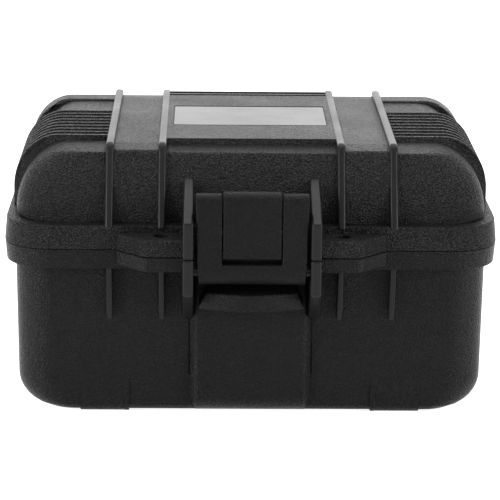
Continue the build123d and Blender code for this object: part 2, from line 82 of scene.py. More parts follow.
def node_sheet(tree):
    """Two functions for a node tree: one links sockets, one adds a node at a column and row."""

    def add(kind, column, row, **values):
        """Adds one node with these settings."""
        node = tree.nodes.new(kind)
        node.location = (column * 220, -row * 260)
        for key, value in values.items():
            setattr(node, key, value)
        return node

    return tree.links.new, add


def new_material(name):
    """An empty node material, with the functions that link and add its nodes."""
    material = bpy.data.materials.new(name)
    material.use_nodes = True
    material.node_tree.nodes.clear()
    link, add = node_sheet(material.node_tree)
    return material, link, add


def seen_plainly(link, add):
    """A socket that is 1 for what the camera, a reflection or glass shows, and 0 for soft light."""
    path = add("ShaderNodeLightPath", 0, 0)
    sharp = add("ShaderNodeMath", 1, 1, operation="MAXIMUM")
    seen = add("ShaderNodeMath", 2, 0, operation="MAXIMUM")
    link(path.outputs["Is Glossy Ray"], sharp.inputs[0])
    link(path.outputs["Is Transmission Ray"], sharp.inputs[1])
    link(path.outputs["Is Camera Ray"], seen.inputs[0])
    link(sharp.outputs[0], seen.inputs[1])
    return seen.outputs[0]


floor_paper, link, add = new_material("white_sweep_paper")
floor_output = add("ShaderNodeOutputMaterial", 4, 0)
floor_mix = add("ShaderNodeMixShader", 3, 0)
floor_shade = add("ShaderNodeBsdfDiffuse", 2, 1)
floor_shade.inputs["Color"].default_value = (0.8, 0.8, 0.8, 1)
floor_glow = add("ShaderNodeEmission", 2, 2)
floor_glow.inputs["Color"].default_value = (1, 1, 1, 1)
floor_glow.inputs["Strength"].default_value = 0.82
floor_add = add("ShaderNodeAddShader", 3, 1)
link(seen_plainly(link, add), floor_mix.inputs["Fac"])
link(floor_shade.outputs[0], floor_mix.inputs[1])
link(floor_shade.outputs[0], floor_add.inputs[0])
link(floor_glow.outputs[0], floor_add.inputs[1])
link(floor_add.outputs[0], floor_mix.inputs[2])
link(floor_mix.outputs[0], floor_output.inputs["Surface"])

floor_size = 12
floor_drop = 0.0002
bpy.ops.mesh.primitive_plane_add(size=floor_size, location=(0, 0, -floor_drop))
floor = bpy.context.object
floor.name = "studio_floor"
floor.data.materials.append(floor_paper)

world = bpy.data.worlds.new("studio_air")
bpy.context.scene.world = world
world.use_nodes = True
link, add = node_sheet(world.node_tree)
world_shade = world.node_tree.nodes["Background"]
world_shade.inputs["Color"].default_value = (1, 1, 1, 1)
world_level = add("ShaderNodeMapRange", 3, 1)
world_level.inputs["To Min"].default_value = 0.24
world_level.inputs["To Max"].default_value = 1.0
link(seen_plainly(link, add), world_level.inputs["Value"])
link(world_level.outputs["Result"], world_shade.inputs["Strength"])


def soft_box(name, place, target, width, height, power):
    """A rectangular soft box that faces a point."""
    bpy.ops.object.light_add(type="AREA", location=place)
    lamp = bpy.context.object
    lamp.name = name
    lamp.data.shape = "RECTANGLE"
    lamp.data.size = width
    lamp.data.size_y = height
    lamp.data.energy = power
    lamp.rotation_euler = (Vector(target) - Vector(place)).to_track_quat("-Z", "Y").to_euler()


soft_box("overhead_soft_box", (0, 0.3, 1.5), (0, 0.05, 0.1), 2.2, 1.6, 26)
soft_box("back_soft_box", (0, 1.9, 0.75), (0, 0, 0.1), 3.0, 1.1, 16)
soft_box("left_soft_box", (-1.3, -0.75, 0.42), (0, 0, 0.1), 0.5, 0.8, 24)
soft_box("right_soft_box", (1.3, -0.75, 0.42), (0, 0, 0.1), 0.5, 0.8, 20)


# Base tub. An injection-moulded bin of black polypropylene, with drafted walls 3 mm thick and an
# open mouth. Its lower edges are round, tighter at the front and back than at the sides, and the
# mould's finely pebbled skin is on all of it.
case_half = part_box("base_shell")[1].x
rim_depth = 0.213
middle_y = front_y + rim_depth / 2
tub_side_inset = 0.0062
tub_front_inset = 0.0085
tub_corner = 0.023
tub_top_gap = 0.0004
tub_low = 0.0006
tub_front_round = 0.0065
tub_side_round = 0.020
tub_draft = 0.0009
shell_wall = 0.003


def moulded_plastic(
    name,
    colour,
    roughness,
    grain,
    depth,
    stretch=1.0,
    top_grain=None,
    top_depth=0,
    gloss=0.22,
    cavity_shade_amount=0.0,
):
    """Dark moulded plastic, with pebbles as wide as grain and as high as depth, in metres, and
    flattened by stretch. What faces up has the top grain, where one is given. Gloss is the mean
    strength of the reflection; the last argument sets how far a painted highlight raises it on the
    pebbles and painted shade lowers it between them."""
    material, link, add = new_material(name)
    output = add("ShaderNodeOutputMaterial", 10, 0)
    shade = add("ShaderNodeBsdfPrincipled", 9, 0)
    place = add("ShaderNodeTexCoord", 0, 1)

    def pebbles(row, size, height, flat):
        """Sockets with the height in metres and the plain level of one size of pebbles."""
        scaled = add("ShaderNodeMapping", 1, row)
        scaled.inputs["Scale"].default_value = (1, 1, flat)
        warp = add("ShaderNodeTexNoise", 1, row + 1)
        warp.inputs["Scale"].default_value = 0.45 / size
        warp.inputs["Detail"].default_value = 2
        warp_amount = add("ShaderNodeVectorMath", 2, row + 1, operation="SCALE")
        warp_amount.inputs["Scale"].default_value = size * 1.3
        warped = add("ShaderNodeVectorMath", 3, row, operation="ADD")
        cells = add("ShaderNodeTexVoronoi", 4, row, feature="SMOOTH_F1")
        cells.inputs["Scale"].default_value = 1 / size
        cells.inputs["Smoothness"].default_value = 0.35
        fine = add("ShaderNodeTexNoise", 4, row + 1)
        fine.inputs["Scale"].default_value = 1.5 / size
        fine.inputs["Detail"].default_value = 3
        fine_part = add("ShaderNodeMath", 5, row + 1, operation="MULTIPLY")
        fine_part.inputs[1].default_value = 0.8
        level = add("ShaderNodeMath", 6, row, operation="SUBTRACT")
        raised = add("ShaderNodeMath", 7, row, operation="MULTIPLY")
        raised.inputs[1].default_value = height
        link(place.outputs["Object"], scaled.inputs["Vector"])
        link(place.outputs["Object"], warp.inputs["Vector"])
        link(warp.outputs["Color"], warp_amount.inputs[0])
        link(scaled.outputs["Vector"], warped.inputs[0])
        link(warp_amount.outputs[0], warped.inputs[1])
        link(warped.outputs[0], cells.inputs["Vector"])
        link(place.outputs["Object"], fine.inputs["Vector"])
        link(fine.outputs["Fac"], fine_part.inputs[0])
        link(fine_part.outputs[0], level.inputs[0])
        link(cells.outputs["Distance"], level.inputs[1])
        link(level.outputs[0], raised.inputs[0])
        return raised.outputs[0], level.outputs[0]

    height, level = pebbles(1, grain, depth, stretch)
    if top_grain:
        facing = add("ShaderNodeSeparateXYZ", 5, 5)
        share = add("ShaderNodeMapRange", 6, 5)
        share.inputs["From Min"].default_value = 0.70
        share.inputs["From Max"].default_value = 0.96
        link(place.outputs["Normal"], facing.inputs[0])
        link(facing.outputs["Z"], share.inputs["Value"])
        both = []
        for row, wall, top in zip((2, 4), (height, level), pebbles(3, top_grain, top_depth, 1.0)):
            blend = add("ShaderNodeMix", 7, row, data_type="FLOAT")
            link(share.outputs["Result"], blend.inputs[0])
            link(wall, blend.inputs[2])
            link(top, blend.inputs[3])
            both.append(blend.outputs[0])
        height, level = both
    # Painted shade and highlight: the reflection's strength follows the pebble height, so it is lower in
    # the valleys and higher on the crests.
    painted_cavity_shine = add("ShaderNodeMapRange", 8, 2)
    painted_cavity_shine.inputs["From Min"].default_value = -0.2
    painted_cavity_shine.inputs["From Max"].default_value = 0.2
    painted_cavity_shine.inputs["To Min"].default_value = gloss * (1 - cavity_shade_amount)
    painted_cavity_shine.inputs["To Max"].default_value = gloss * (1 + cavity_shade_amount)
    link(level, painted_cavity_shine.inputs["Value"])
    link(painted_cavity_shine.outputs["Result"], shade.inputs["Specular IOR Level"])
    bump = add("ShaderNodeBump", 8, 1)
    bump.inputs["Strength"].default_value = 1.0
    bump.inputs["Distance"].default_value = 1.0
    patches = add("ShaderNodeTexNoise", 6, 6)
    patches.inputs["Scale"].default_value = 22
    patches.inputs["Detail"].default_value = 3
    dull = add("ShaderNodeMapRange", 7, 6)
    dull.inputs["From Min"].default_value = 0.35
    dull.inputs["From Max"].default_value = 0.65
    dull.inputs["To Min"].default_value = roughness - 0.04
    dull.inputs["To Max"].default_value = roughness + 0.04
    # Sockets 6 and 7 of a colour mix are the two colours that it blends.
    tint = add("ShaderNodeMix", 8, 6, data_type="RGBA")
    tint.inputs[6].default_value = (*(c * 0.85 for c in colour), 1)
    tint.inputs[7].default_value = (*(c * 1.15 for c in colour), 1)
    link(height, bump.inputs["Height"])
    link(place.outputs["Object"], patches.inputs["Vector"])
    link(patches.outputs["Fac"], dull.inputs["Value"])
    link(patches.outputs["Fac"], tint.inputs["Factor"])
    link(dull.outputs["Result"], shade.inputs["Roughness"])
    link(tint.outputs["Result"], shade.inputs["Base Color"])
    link(bump.outputs["Normal"], shade.inputs["Normal"])
    link(shade.outputs[0], output.inputs["Surface"])
    return material


black = (0.0065, 0.0065, 0.0068)
base_skin = moulded_plastic(
    "fine_pebbled_plastic",
    black,
    roughness=0.31,
    grain=0.0012,
    depth=0.0004,
    stretch=1.5,
    gloss=0.095,
    cavity_shade_amount=0.4,
)


def only(piece):
    """Leaves nothing but this piece selected, and makes it the active one."""
    bpy.ops.object.select_all(action="DESELECT")
    piece.select_set(True)
    bpy.context.view_layer.objects.active = piece


def apply_modifier(piece, kind, **values):
    """Adds one modifier with these values to the piece and applies it."""
    only(piece)
    modifier = piece.modifiers.new(kind.lower(), kind)
    for key, value in values.items():
        setattr(modifier, key, value)
    bpy.ops.object.modifier_apply(modifier=modifier.name)


def soften(piece, width, segments=3, angle=28):
    """Rounds the sharp edges of a moulding and shades it smooth, with its flats kept flat."""
    if width > 0:
        apply_modifier(
            piece,
            "BEVEL",
            width=width,
            segments=segments,
            limit_method="ANGLE",
            angle_limit=math.radians(angle),
            use_clamp_overlap=False,
        )
    only(piece)
    bpy.ops.object.shade_smooth_by_angle(angle=math.radians(40))
    apply_modifier(piece, "WEIGHTED_NORMAL", keep_sharp=True, weight=80)


def finish(piece, body, nodes, material):
    """Gives a piece its skin and its body, and hides the solids it stands for."""
    piece.data.materials.append(material)
    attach(piece, body)
    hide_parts(*nodes)


def wall_run(along, height, edge_round, draft):
    """How far a drafted wall with a round lower edge is drawn in, and its depth, along its length."""
    straight = height - edge_round
    run = along * (straight + edge_round * math.pi / 2)
    if run <= straight:
        return draft * run / straight, run
    angle = (run - straight) / edge_round
    return draft + edge_round * (1 - math.cos(angle)), straight + edge_round * math.sin(angle)


def ringed_shell(name, half_x, half_y, corner, front_run, side_run, levels, place):
    """A shell from its open edge to its flat: rings whose front and side runs blend in the corners."""
    corner_steps = 10

    def ring(along):
        """One ring's points, with place giving the height of a point from its run."""
        front_drawn, front_height = front_run(along)
        side_drawn, side_height = side_run(along)
        points = []
        for quarter in range(4):
            for step in range(corner_steps + 1):
                angle = (quarter + step / corner_steps) * math.pi / 2
                share = math.sin(angle) ** 2
                right_way = 1 if quarter in (0, 3) else -1
                back_way = 1 if quarter in (0, 1) else -1
                across = right_way * (half_x - corner) + corner * math.cos(angle)
                back = back_way * (half_y - corner) + corner * math.sin(angle)
                points.append(
                    (
                        across * (1 - side_drawn / half_x),
                        middle_y + back * (1 - front_drawn / half_y),
                        place(side_height * (1 - share) + front_height * share),
                    )
                )
        return points

    first = ring(0)
    bpy.ops.object.select_all(action="DESELECT")
    bpy.ops.mesh.primitive_circle_add(vertices=len(first), fill_type="NOTHING")
    shell = bpy.context.object
    shell.name = name
    bpy.ops.object.mode_set(mode="EDIT")
    bpy.ops.mesh.select_mode(type="EDGE")
    bpy.ops.mesh.select_all(action="SELECT")
    for level in range(levels):
        bpy.ops.mesh.extrude_edges_move()
    mesh = bmesh.from_edit_mesh(shell.data)
    mesh.verts.ensure_lookup_table()
    for level in range(levels + 1):
        for number, point in enumerate(ring(level / levels)):
            mesh.verts[level * len(first) + number].co = point
    bmesh.update_edit_mesh(shell.data)
    bpy.ops.mesh.edge_face_add()
    bpy.ops.mesh.select_all(action="SELECT")
    bpy.ops.mesh.normals_make_consistent(inside=False)
    bpy.ops.object.mode_set(mode="OBJECT")
    apply_modifier(shell, "SOLIDIFY", thickness=shell_wall, offset=-1, use_even_offset=True)
    soften(shell, 0)
    return shell


tub_height = part_z - tub_top_gap - tub_low
tub = ringed_shell(
    "base_tub",
    case_half - tub_side_inset,
    rim_depth / 2 - tub_front_inset,
    tub_corner,
    lambda along: wall_run(along, tub_height, tub_front_round, tub_draft),
    lambda along: wall_run(along, tub_height, tub_side_round, tub_draft),
    levels=28,
    place=lambda run: part_z - tub_top_gap - run,
)
finish(tub, "base", ["base_shell"], base_skin)

# Base rim. The thick flange round the mouth, 12 mm deep, which meets the lid's flange at the
# parting line; it carries the tongue that presses into the lid's seal.
rim_corner = 0.029
base_rim_height = 0.0121
parting_half_gap = 0.00008


def pick_edges(piece, wanted):
    """In edit mode, selects the edges that the test wants and no others."""
    bpy.ops.mesh.select_mode(type="EDGE")
    bpy.ops.mesh.select_all(action="DESELECT")
    mesh = bmesh.from_edit_mesh(piece.data)
    for edge in mesh.edges:
        edge.select_set(wanted(edge))
    bmesh.update_edit_mesh(piece.data)


def pick_faces(piece, wanted):
    """In edit mode, selects the faces that the test wants and no others."""
    bpy.ops.mesh.select_mode(type="FACE")
    bpy.ops.mesh.select_all(action="DESELECT")
    mesh = bmesh.from_edit_mesh(piece.data)
    for face in mesh.faces:
        face.select_set(wanted(face))
    bmesh.update_edit_mesh(piece.data)


def round_block(name, half_width, half_depth, low_z, high_z, corner, segments):
    """A block with round upright corners."""
    bpy.ops.object.select_all(action="DESELECT")
    bpy.ops.mesh.primitive_cube_add(size=1, location=(0, 0, 0))
    piece = bpy.context.object
    piece.name = name
    for vertex in piece.data.vertices:
        vertex.co.x = math.copysign(half_width, vertex.co.x)
        vertex.co.y = middle_y + math.copysign(half_depth, vertex.co.y)
        vertex.co.z = low_z if vertex.co.z < 0 else high_z
    bpy.ops.object.mode_set(mode="EDIT")
    pick_edges(piece, lambda edge: abs(edge.verts[0].co.z - edge.verts[1].co.z) > (high_z - low_z) / 2)
    bpy.ops.mesh.bevel(offset=corner, offset_type="OFFSET", segments=segments, affect="EDGES")
    bpy.ops.object.mode_set(mode="OBJECT")
    return piece


def rim_ring(name, inset, width, low_z, high_z, flare=0.0):
    """A ring that follows the rim: an outline drawn in by inset, with a mouth cut out of it.
    With a flare, its edge away from the parting is drawn in by that much."""
    ring = round_block(
        name,
        case_half - inset,
        rim_depth / 2 - inset,
        low_z,
        high_z,
        rim_corner - inset,
        segments=14,
    )
    only(ring)
    bpy.ops.object.mode_set(mode="EDIT")
    pick_faces(ring, lambda face: abs(face.normal.z) > 0.9)
    bpy.ops.mesh.inset(thickness=width)
    bpy.ops.mesh.bridge_edge_loops()
    bpy.ops.mesh.select_all(action="SELECT")
    bpy.ops.mesh.normals_make_consistent(inside=False)
    bpy.ops.object.mode_set(mode="OBJECT")
    for vertex in ring.data.vertices:
        if abs(vertex.co.z - part_z) > 0.01:
            vertex.co.x *= 1 - flare / case_half
            vertex.co.y = middle_y + (vertex.co.y - middle_y) * (1 - 2 * flare / rim_depth)
    return ring


base_rim = rim_ring(
    "base_rim",
    inset=0.0002,
    width=0.0090,
    low_z=part_z - base_rim_height,
    high_z=part_z - parting_half_gap,
    flare=0.0009,
)
soften(base_rim, 0.0005)
finish(base_rim, "base", ["base_shell"], base_skin)

smooth_skin = moulded_plastic(
    "satin_rib_plastic",
    (0.010, 0.010, 0.0104),
    roughness=0.30,
    grain=0.0009,
    depth=0.00003,
    gloss=0.12,
)
tongue_root = 0.001
tongue_height = 0.00185
tongue = rim_ring(
    "base_tongue",
    inset=0.0043,
    width=0.0024,
    low_z=part_z - tongue_root,
    high_z=part_z + tongue_height,
)
soften(tongue, 0.0004)
finish(tongue, "base", ["base_shell"], smooth_skin)

# Base front panel. A raised field of the base's moulding below the latch, with sloped flanks, that
# runs down the wall, round the lower edge and a little way under the case.
panel_half = 0.0332
panel_flank_wide = 0.0044
panel_proud = 0.0046
panel_round = 0.014


def plate(name, corners, thickness):
    """A plate: a circle with a corner for each of the outline's, moved onto it, then drawn out."""
    bpy.ops.object.select_all(action="DESELECT")
    bpy.ops.mesh.primitive_circle_add(vertices=len(corners), fill_type="NGON")
    piece = bpy.context.object
    piece.name = name
    for vertex, corner in zip(piece.data.vertices, corners):
        vertex.co = corner
    bpy.ops.object.mode_set(mode="EDIT")
    bpy.ops.mesh.select_all(action="SELECT")
    bpy.ops.mesh.extrude_region_move(TRANSFORM_OT_translate={"value": thickness})
    bpy.ops.mesh.select_all(action="SELECT")
    bpy.ops.mesh.normals_make_consistent(inside=False)
    bpy.ops.object.mode_set(mode="OBJECT")
    return piece


def side_plate(name, outline, centre_x, width):
    """A plate across the case, from its outline in side view: how far each point is behind the rim's
    front, and how high over the parting."""
    corners = [(centre_x - width / 2, front_y + reach, part_z + height) for reach, height in outline]
    return plate(name, corners, (width, 0, 0))


def rounded(outline, corner, radius, steps=5):
    """The outline with one corner replaced by an arc."""
    before = Vector(outline[corner - 1])
    here = Vector(outline[corner])
    after = Vector(outline[(corner + 1) % len(outline)])
    to_before = (before - here).normalized()
    to_after = (after - here).normalized()
    half = to_before.angle(to_after) / 2
    run = radius / math.tan(half)
    centre = here + (to_before + to_after).normalized() * radius / math.sin(half)
    start = here + to_before * run - centre
    sweep = math.pi - 2 * half
    turn = 1 if start.cross(here + to_after * run - centre) > 0 else -1
    arc = []
    for step in range(steps + 1):
        angle = turn * sweep * step / steps
        arc.append(
            (
                centre.x + start.x * math.cos(angle) - start.y * math.sin(angle),
                centre.y + start.x * math.sin(angle) + start.y * math.cos(angle),
            )
        )
    return list(outline[:corner]) + arc + list(outline[corner + 1 :])


def panel_outline(proud):
    """The front panel in side view, standing out of the wall by proud, down to just over the floor."""
    low = 0.0002 - part_z
    high = -base_rim_height - 0.0005
    back = tub_front_inset + 0.040
    in_wall = tub_front_inset + 0.0015
    outline = [
        (tub_front_inset - proud, high),
        (tub_front_inset - proud + 0.0006, low),
        (back, low),
        (back, low + 0.002),
        (tub_front_inset + 0.018, low + 0.007),
        (in_wall, low + 0.026),
        (in_wall, high),
    ]
    return rounded(outline, 1, panel_round, 9)


panel_sunk = 0.0006
front_panel = side_plate("base_front_panel", panel_outline(panel_proud), 0, 2 * panel_half)
for side in (-1, 1):
    only(front_panel)
    bpy.ops.object.mode_set(mode="EDIT")
    pick_faces(front_panel, lambda face: face.normal.x * side > 0.9)
    bpy.ops.mesh.extrude_region_move(TRANSFORM_OT_translate={"value": (side * panel_flank_wide, 0, 0)})
    mesh = bmesh.from_edit_mesh(front_panel.data)
    raised = [Vector((front_y + y, part_z + z)) for y, z in panel_outline(panel_proud)]
    sunk = [(front_y + y, part_z + z) for y, z in panel_outline(-panel_sunk)]
    for vertex in mesh.verts:
        if vertex.select:
            here = Vector((vertex.co.y, vertex.co.z))
            nearest = min(range(len(raised)), key=lambda number: (raised[number] - here).length)
            vertex.co.y, vertex.co.z = sunk[nearest]
    bmesh.update_edit_mesh(front_panel.data)
    bpy.ops.mesh.select_all(action="SELECT")
    bpy.ops.mesh.normals_make_consistent(inside=False)
    bpy.ops.object.mode_set(mode="OBJECT")
soften(front_panel, 0.0016, segments=4, angle=30)
finish(front_panel, "base", ["base_shell"], base_skin)

# Base skids and gussets. Shallow straps with a narrow rail beside each run under the case and fade
# into its front and back; short tapered gussets stiffen the rim from below, in line with the lid's
# ribs. All are part of the base's moulding.
rib_positions = (0.054, 0.0856)
skid_start = 0.077
skid_end = 0.104
skid_proud = 0.0008
rail_proud = 0.0014
rail_width = 0.003


def skid_outline(proud):
    """A skid in side view: the tub's front, bottom and back drawn out by proud, fading into the walls
    at the top, then back inside the tub's wall."""
    low = 0.0001 - part_z
    front = tub_front_inset
    back = rim_depth - front
    proud_front = front - proud
    outline = [
        (front + 0.002, -0.030),
        (front + 0.0007, -0.080),
        (proud_front + 0.0010, -0.092),
        (proud_front + 0.0010, low),
        (rim_depth - proud_front - 0.0010, low),
        (rim_depth - proud_front - 0.0010, -0.092),
        (back - 0.0007, -0.080),
        (back - 0.002, -0.030),
        (back - 0.0025, low + 0.010),
        (back - 0.010, low + 0.0025),
        (front + 0.010, low + 0.0025),
        (front + 0.0025, low + 0.010),
    ]
    return rounded(rounded(outline, 4, tub_front_round, 9), 3, tub_front_round, 9)


for side, hand in ((-1, "left"), (1, "right")):
    strap = side_plate(
        "base_skid_" + hand,
        skid_outline(skid_proud),
        side * (skid_start + skid_end) / 2,
        skid_end - skid_start,
    )
    soften(strap, 0)
    finish(strap, "base", ["base_shell"], base_skin)
    rail = side_plate(
        "base_rail_" + hand,
        skid_outline(rail_proud),
        side * (skid_start - 0.0015),
        rail_width,
    )
    soften(rail, 0.0006)
    finish(rail, "base", ["base_shell"], base_skin)

gusset_width = 0.0036
gusset_outline = [
    (tub_front_inset + 0.001, -base_rim_height + 0.001),
    (tub_front_inset - 0.006, -base_rim_height + 0.001),
    (tub_front_inset - 0.004, -0.038),
    (tub_front_inset + 0.001, -0.047),
]
gussets = []
for side in (-1, 1):
    for position in rib_positions:
        outline = rounded(gusset_outline, 2, 0.004)
        gussets.append(side_plate("gusset", outline, side * position, gusset_width))
for gusset in gussets:
    soften(gusset, 0.0009)
side_gusset_reach = 0.0046
side_gusset_drop = 0.033
side_gusset_position = 0.046
side_wall = case_half - tub_side_inset
for side in (-1, 1):
    for row in (-1, 1):
        start_y = middle_y + row * side_gusset_position - gusset_width / 2
        corners = [
            (side * (side_wall - 0.0015), start_y, part_z - base_rim_height + 0.001),
            (side * (side_wall + side_gusset_reach), start_y, part_z - base_rim_height + 0.001),
            (side * (side_wall - 0.0015), start_y, part_z - side_gusset_drop),
        ]
        gusset = plate("gusset", corners, (0, gusset_width, 0))
        soften(gusset, 0.0008)
        gussets.append(gusset)


def weld(name, pieces):
    """Joins pieces that are one moulding into one object."""
    only(pieces[0])
    for piece in pieces:
        piece.select_set(True)
    bpy.ops.object.join()
    pieces[0].name = name
    return pieces[0]


gusset_row = weld("base_gussets", gussets)
finish(gusset_row, "base", ["base_shell"], smooth_skin)

# Latch ledge. A crescent shelf of the base's moulding that stands out under the latch, to guard it,
# and gets narrower toward its top.
ledge_half = 0.032
ledge_reach = 0.020
ledge_sweep = 0.0075
ledge_drop = 0.033
ledge_height = 0.0106
ledge_root = 0.0095
ledge_top_share = 0.86
ledge_steps = 16
ledge_corners = []
for step in range(ledge_steps + 1):
    x = -ledge_half + 2 * ledge_half * step / ledge_steps
    reach = ledge_reach - (x / ledge_half) ** 2 * ledge_sweep
    ledge_corners.append((x, front_y - reach, part_z - ledge_drop))
for x in (ledge_half, -ledge_half):
    ledge_corners.append((x, front_y + ledge_root, part_z - ledge_drop))
ledge = plate("base_ledge", ledge_corners, (0, 0, ledge_height))
for vertex in ledge.data.vertices:
    if vertex.co.z > part_z - ledge_drop + ledge_height / 2:
        vertex.co.x *= ledge_top_share
soften(ledge, 0.0012)
finish(ledge, "base", ["base_shell"], base_skin)

# Guard posts. A thick web on each side of the latch, with a flat front. Its lower half is moulded
# on the base, where it holds the latch's pin, and its upper half on the lid.
post_position = 0.038
post_width = 0.0064
post_reach = 0.024
base_post_outline = [
    (0.010, -parting_half_gap),
    (-post_reach, -parting_half_gap),
    (-post_reach, -0.0217),
    (0.010, -0.0465),
]
lid_post_outline = [
    (-post_reach, parting_half_gap),
    (-post_reach, 0.0223),
    (0.0205, 0.0426),
    (0.0105, 0.0136),
    (0.003, parting_half_gap),
]
base_post_outline = rounded(base_post_outline, 2, 0.0025)
lid_post_outline = rounded(rounded(lid_post_outline, 2, 0.002), 1, 0.0018)
for side, hand in ((-1, "left"), (1, "right")):
    for body, outline in (("base", base_post_outline), ("lid", lid_post_outline)):
        post = side_plate(body + "_post_" + hand, outline, side * post_position, post_width)
        soften(post, 0.0015, segments=5)
        finish(post, body, [body + "_shell"], smooth_skin)

# Padlock tabs. Ears of both shells beside the posts. Each slopes out of the rim, turns in a round
# corner to a flat front, and is drilled through for a padlock's shackle.
tab_start = 0.0812
tab_flat = 0.061
tab_turn = 0.008
tab_turn_angle = math.radians(48)
tab_turn_steps = 8
tab_reach = 0.018
hole_radius = 0.00475
hole_position = 0.0541
hole_reach = 0.0053
wall_skin = moulded_plastic(
    "pebbled_case_plastic",
    black,
    roughness=0.36,
    grain=0.00115,
    depth=0.0007,
    stretch=1.6,
    top_grain=0.0011,
    top_depth=0.0006,
    gloss=0.135,
    cavity_shade_amount=0.65,
)


def cut(piece, tool):
    """Takes the tool's form out of the piece and removes the tool."""
    apply_modifier(piece, "BOOLEAN", operation="DIFFERENCE", solver="EXACT", object=tool)
    bpy.data.objects.remove(tool)


def mirrored(piece, name):
    """A copy of a piece on the case's other side."""
    only(piece)
    bpy.ops.object.duplicate()
    other = bpy.context.object
    other.name = name
    other.data.transform(Matrix.Scale(-1, 4, Vector((1, 0, 0))))
    only(other)
    bpy.ops.object.mode_set(mode="EDIT")
    bpy.ops.mesh.select_all(action="SELECT")
    bpy.ops.mesh.normals_make_consistent(inside=False)
    bpy.ops.object.mode_set(mode="OBJECT")
    return other


def tab_corners(height):
    """The left tab's outline at one height: a slope out of the rim, a round turn, then the flat front."""
    corners = [(-tab_start, front_y - 0.001, part_z + height)]
    for step in range(tab_turn_steps + 1):
        angle = tab_turn_angle * (1 - step / tab_turn_steps)
        reach = tab_reach - tab_turn * (1 - math.cos(angle))
        corners.append((-tab_flat - tab_turn * math.sin(angle), front_y - reach, part_z + height))
    corners.append((-post_position, front_y - tab_reach, part_z + height))
    corners.append((-post_position, front_y + 0.004, part_z + height))
    corners.append((-tab_start, front_y + 0.004, part_z + height))
    return corners


def tab(name, low, height):
    """One tab on the left, with its padlock hole."""
    ear = plate(name, tab_corners(low), (0, 0, height))
    bpy.ops.object.select_all(action="DESELECT")
    bpy.ops.mesh.primitive_cylinder_add(
        vertices=40,
        radius=hole_radius,
        depth=0.05,
        location=(-hole_position, front_y - hole_reach, part_z),
    )
    cut(ear, bpy.context.object)
    soften(ear, 0.0008)
    return ear


for name, body, node, low, height in (
    ("base_tab", "base", "base_shell", -0.009, 0.009 - parting_half_gap),
    ("lid_tab", "lid", "lid_shell", parting_half_gap, 0.0105 - parting_half_gap),
):
    ear = tab(name + "_left", low, height)
    other = mirrored(ear, name + "_right")
    skin = base_skin if body == "base" else wall_skin
    finish(ear, body, [node], skin)
    finish(other, body, [node], skin)

# Lid rim. The lid's half of the flange, a little deeper than the base's, with the seal's groove
# moulded in its underside.
lid_rim_height = 0.0146
groove_roof = 0.00475
groove_start = -0.002
lid_rim = rim_ring(
    "lid_rim",
    inset=0,
    width=0.0114,
    low_z=part_z + parting_half_gap,
    high_z=part_z + lid_rim_height,
    flare=0.0013,
)
groove = rim_ring(
    "groove",
    inset=0.0033,
    width=0.0044,
    low_z=part_z + groove_start,
    high_z=part_z + groove_roof,
)
cut(lid_rim, groove)
soften(lid_rim, 0.0005)
finish(lid_rim, "lid", ["lid_shell"], wall_skin)

# Lid dome. A domed cover moulded 3 mm thick: its front and back rise in a long curve to a tight bend
# and a faint crown, and its sides curve over in a wide arc, so the corners are full and round.
dome_side_inset = 0.0068
dome_front_inset = 0.009
dome_height = 0.056
dome_slope = math.tan(math.radians(21.6))
dome_bend = 0.003
dome_curve = 0.0912
dome_crown = 0.014
dome_corner = 0.026
dome_levels = 30
side_curve_width = 0.0315
side_curve_height = 0.040
front_leans = [math.radians(angle) for angle in (6, 32, 85)]
side_turns = [math.radians(angle) for angle in (65, 13, 12)]
bend_start = 0.5
bend_run = 0.3
crown_start = 0.8
crown_run = 0.2


def front_profile(along, lift=0.0):
    """How far the front is drawn in, and its height: a long curve, a tight bend, then a faint crown."""
    low_lean, bend_lean, crown_lean = front_leans
    curve = dome_curve + lift
    bend = dome_bend + lift
    lean = low_lean + (bend_lean - low_lean) * min(along / bend_start, 1)
    drawn = curve * (math.cos(low_lean) - math.cos(lean)) - lift * math.cos(low_lean)
    height = lid_rim_height + curve * (math.sin(lean) - math.sin(low_lean)) + lift * math.sin(low_lean)
    if along > bend_start:
        lean = bend_lean + (crown_lean - bend_lean) * min((along - bend_start) / bend_run, 1)
        drawn += bend * (math.cos(bend_lean) - math.cos(lean))
        height += bend * (math.sin(lean) - math.sin(bend_lean))
    if along > crown_start:
        drawn += dome_crown * math.sin(crown_lean) * (along - crown_start) / crown_run
        height += dome_crown * math.cos(crown_lean) * (along - crown_start) / crown_run
    return drawn, height


def side_profile(along):
    """How far the side wall is drawn in, and its height, on its quarter ellipse."""
    wall_turn, bend_turn, crown_turn = side_turns
    angle = wall_turn * min(along / bend_start, 1)
    if along > bend_start:
        angle += bend_turn * min((along - bend_start) / bend_run, 1)
    if along > crown_start:
        angle += crown_turn * (along - crown_start) / crown_run
    drawn = side_curve_width * (1 - math.cos(angle))
    height = dome_height - side_curve_height + side_curve_height * math.sin(angle)
    return drawn, max(height, lid_rim_height)


dome = ringed_shell(
    "lid_dome",
    case_half - dome_side_inset,
    rim_depth / 2 - dome_front_inset,
    dome_corner,
    front_profile,
    side_profile,
    levels=dome_levels,
    place=lambda height: part_z + height,
)
finish(dome, "lid", ["lid_shell"], wall_skin)

# Lid ribs and straps. Two pairs of long ribs run up the front, over the top and down the back,
# with a shallow strap between the ribs of each pair; all are part of the lid's moulding.
rib_width = 0.0050
rib_top = 0.0605
rib_foot_reach = 0.0006
rib_run = 0.0221
rib_bend = 0.006
strap_lift = 0.0015


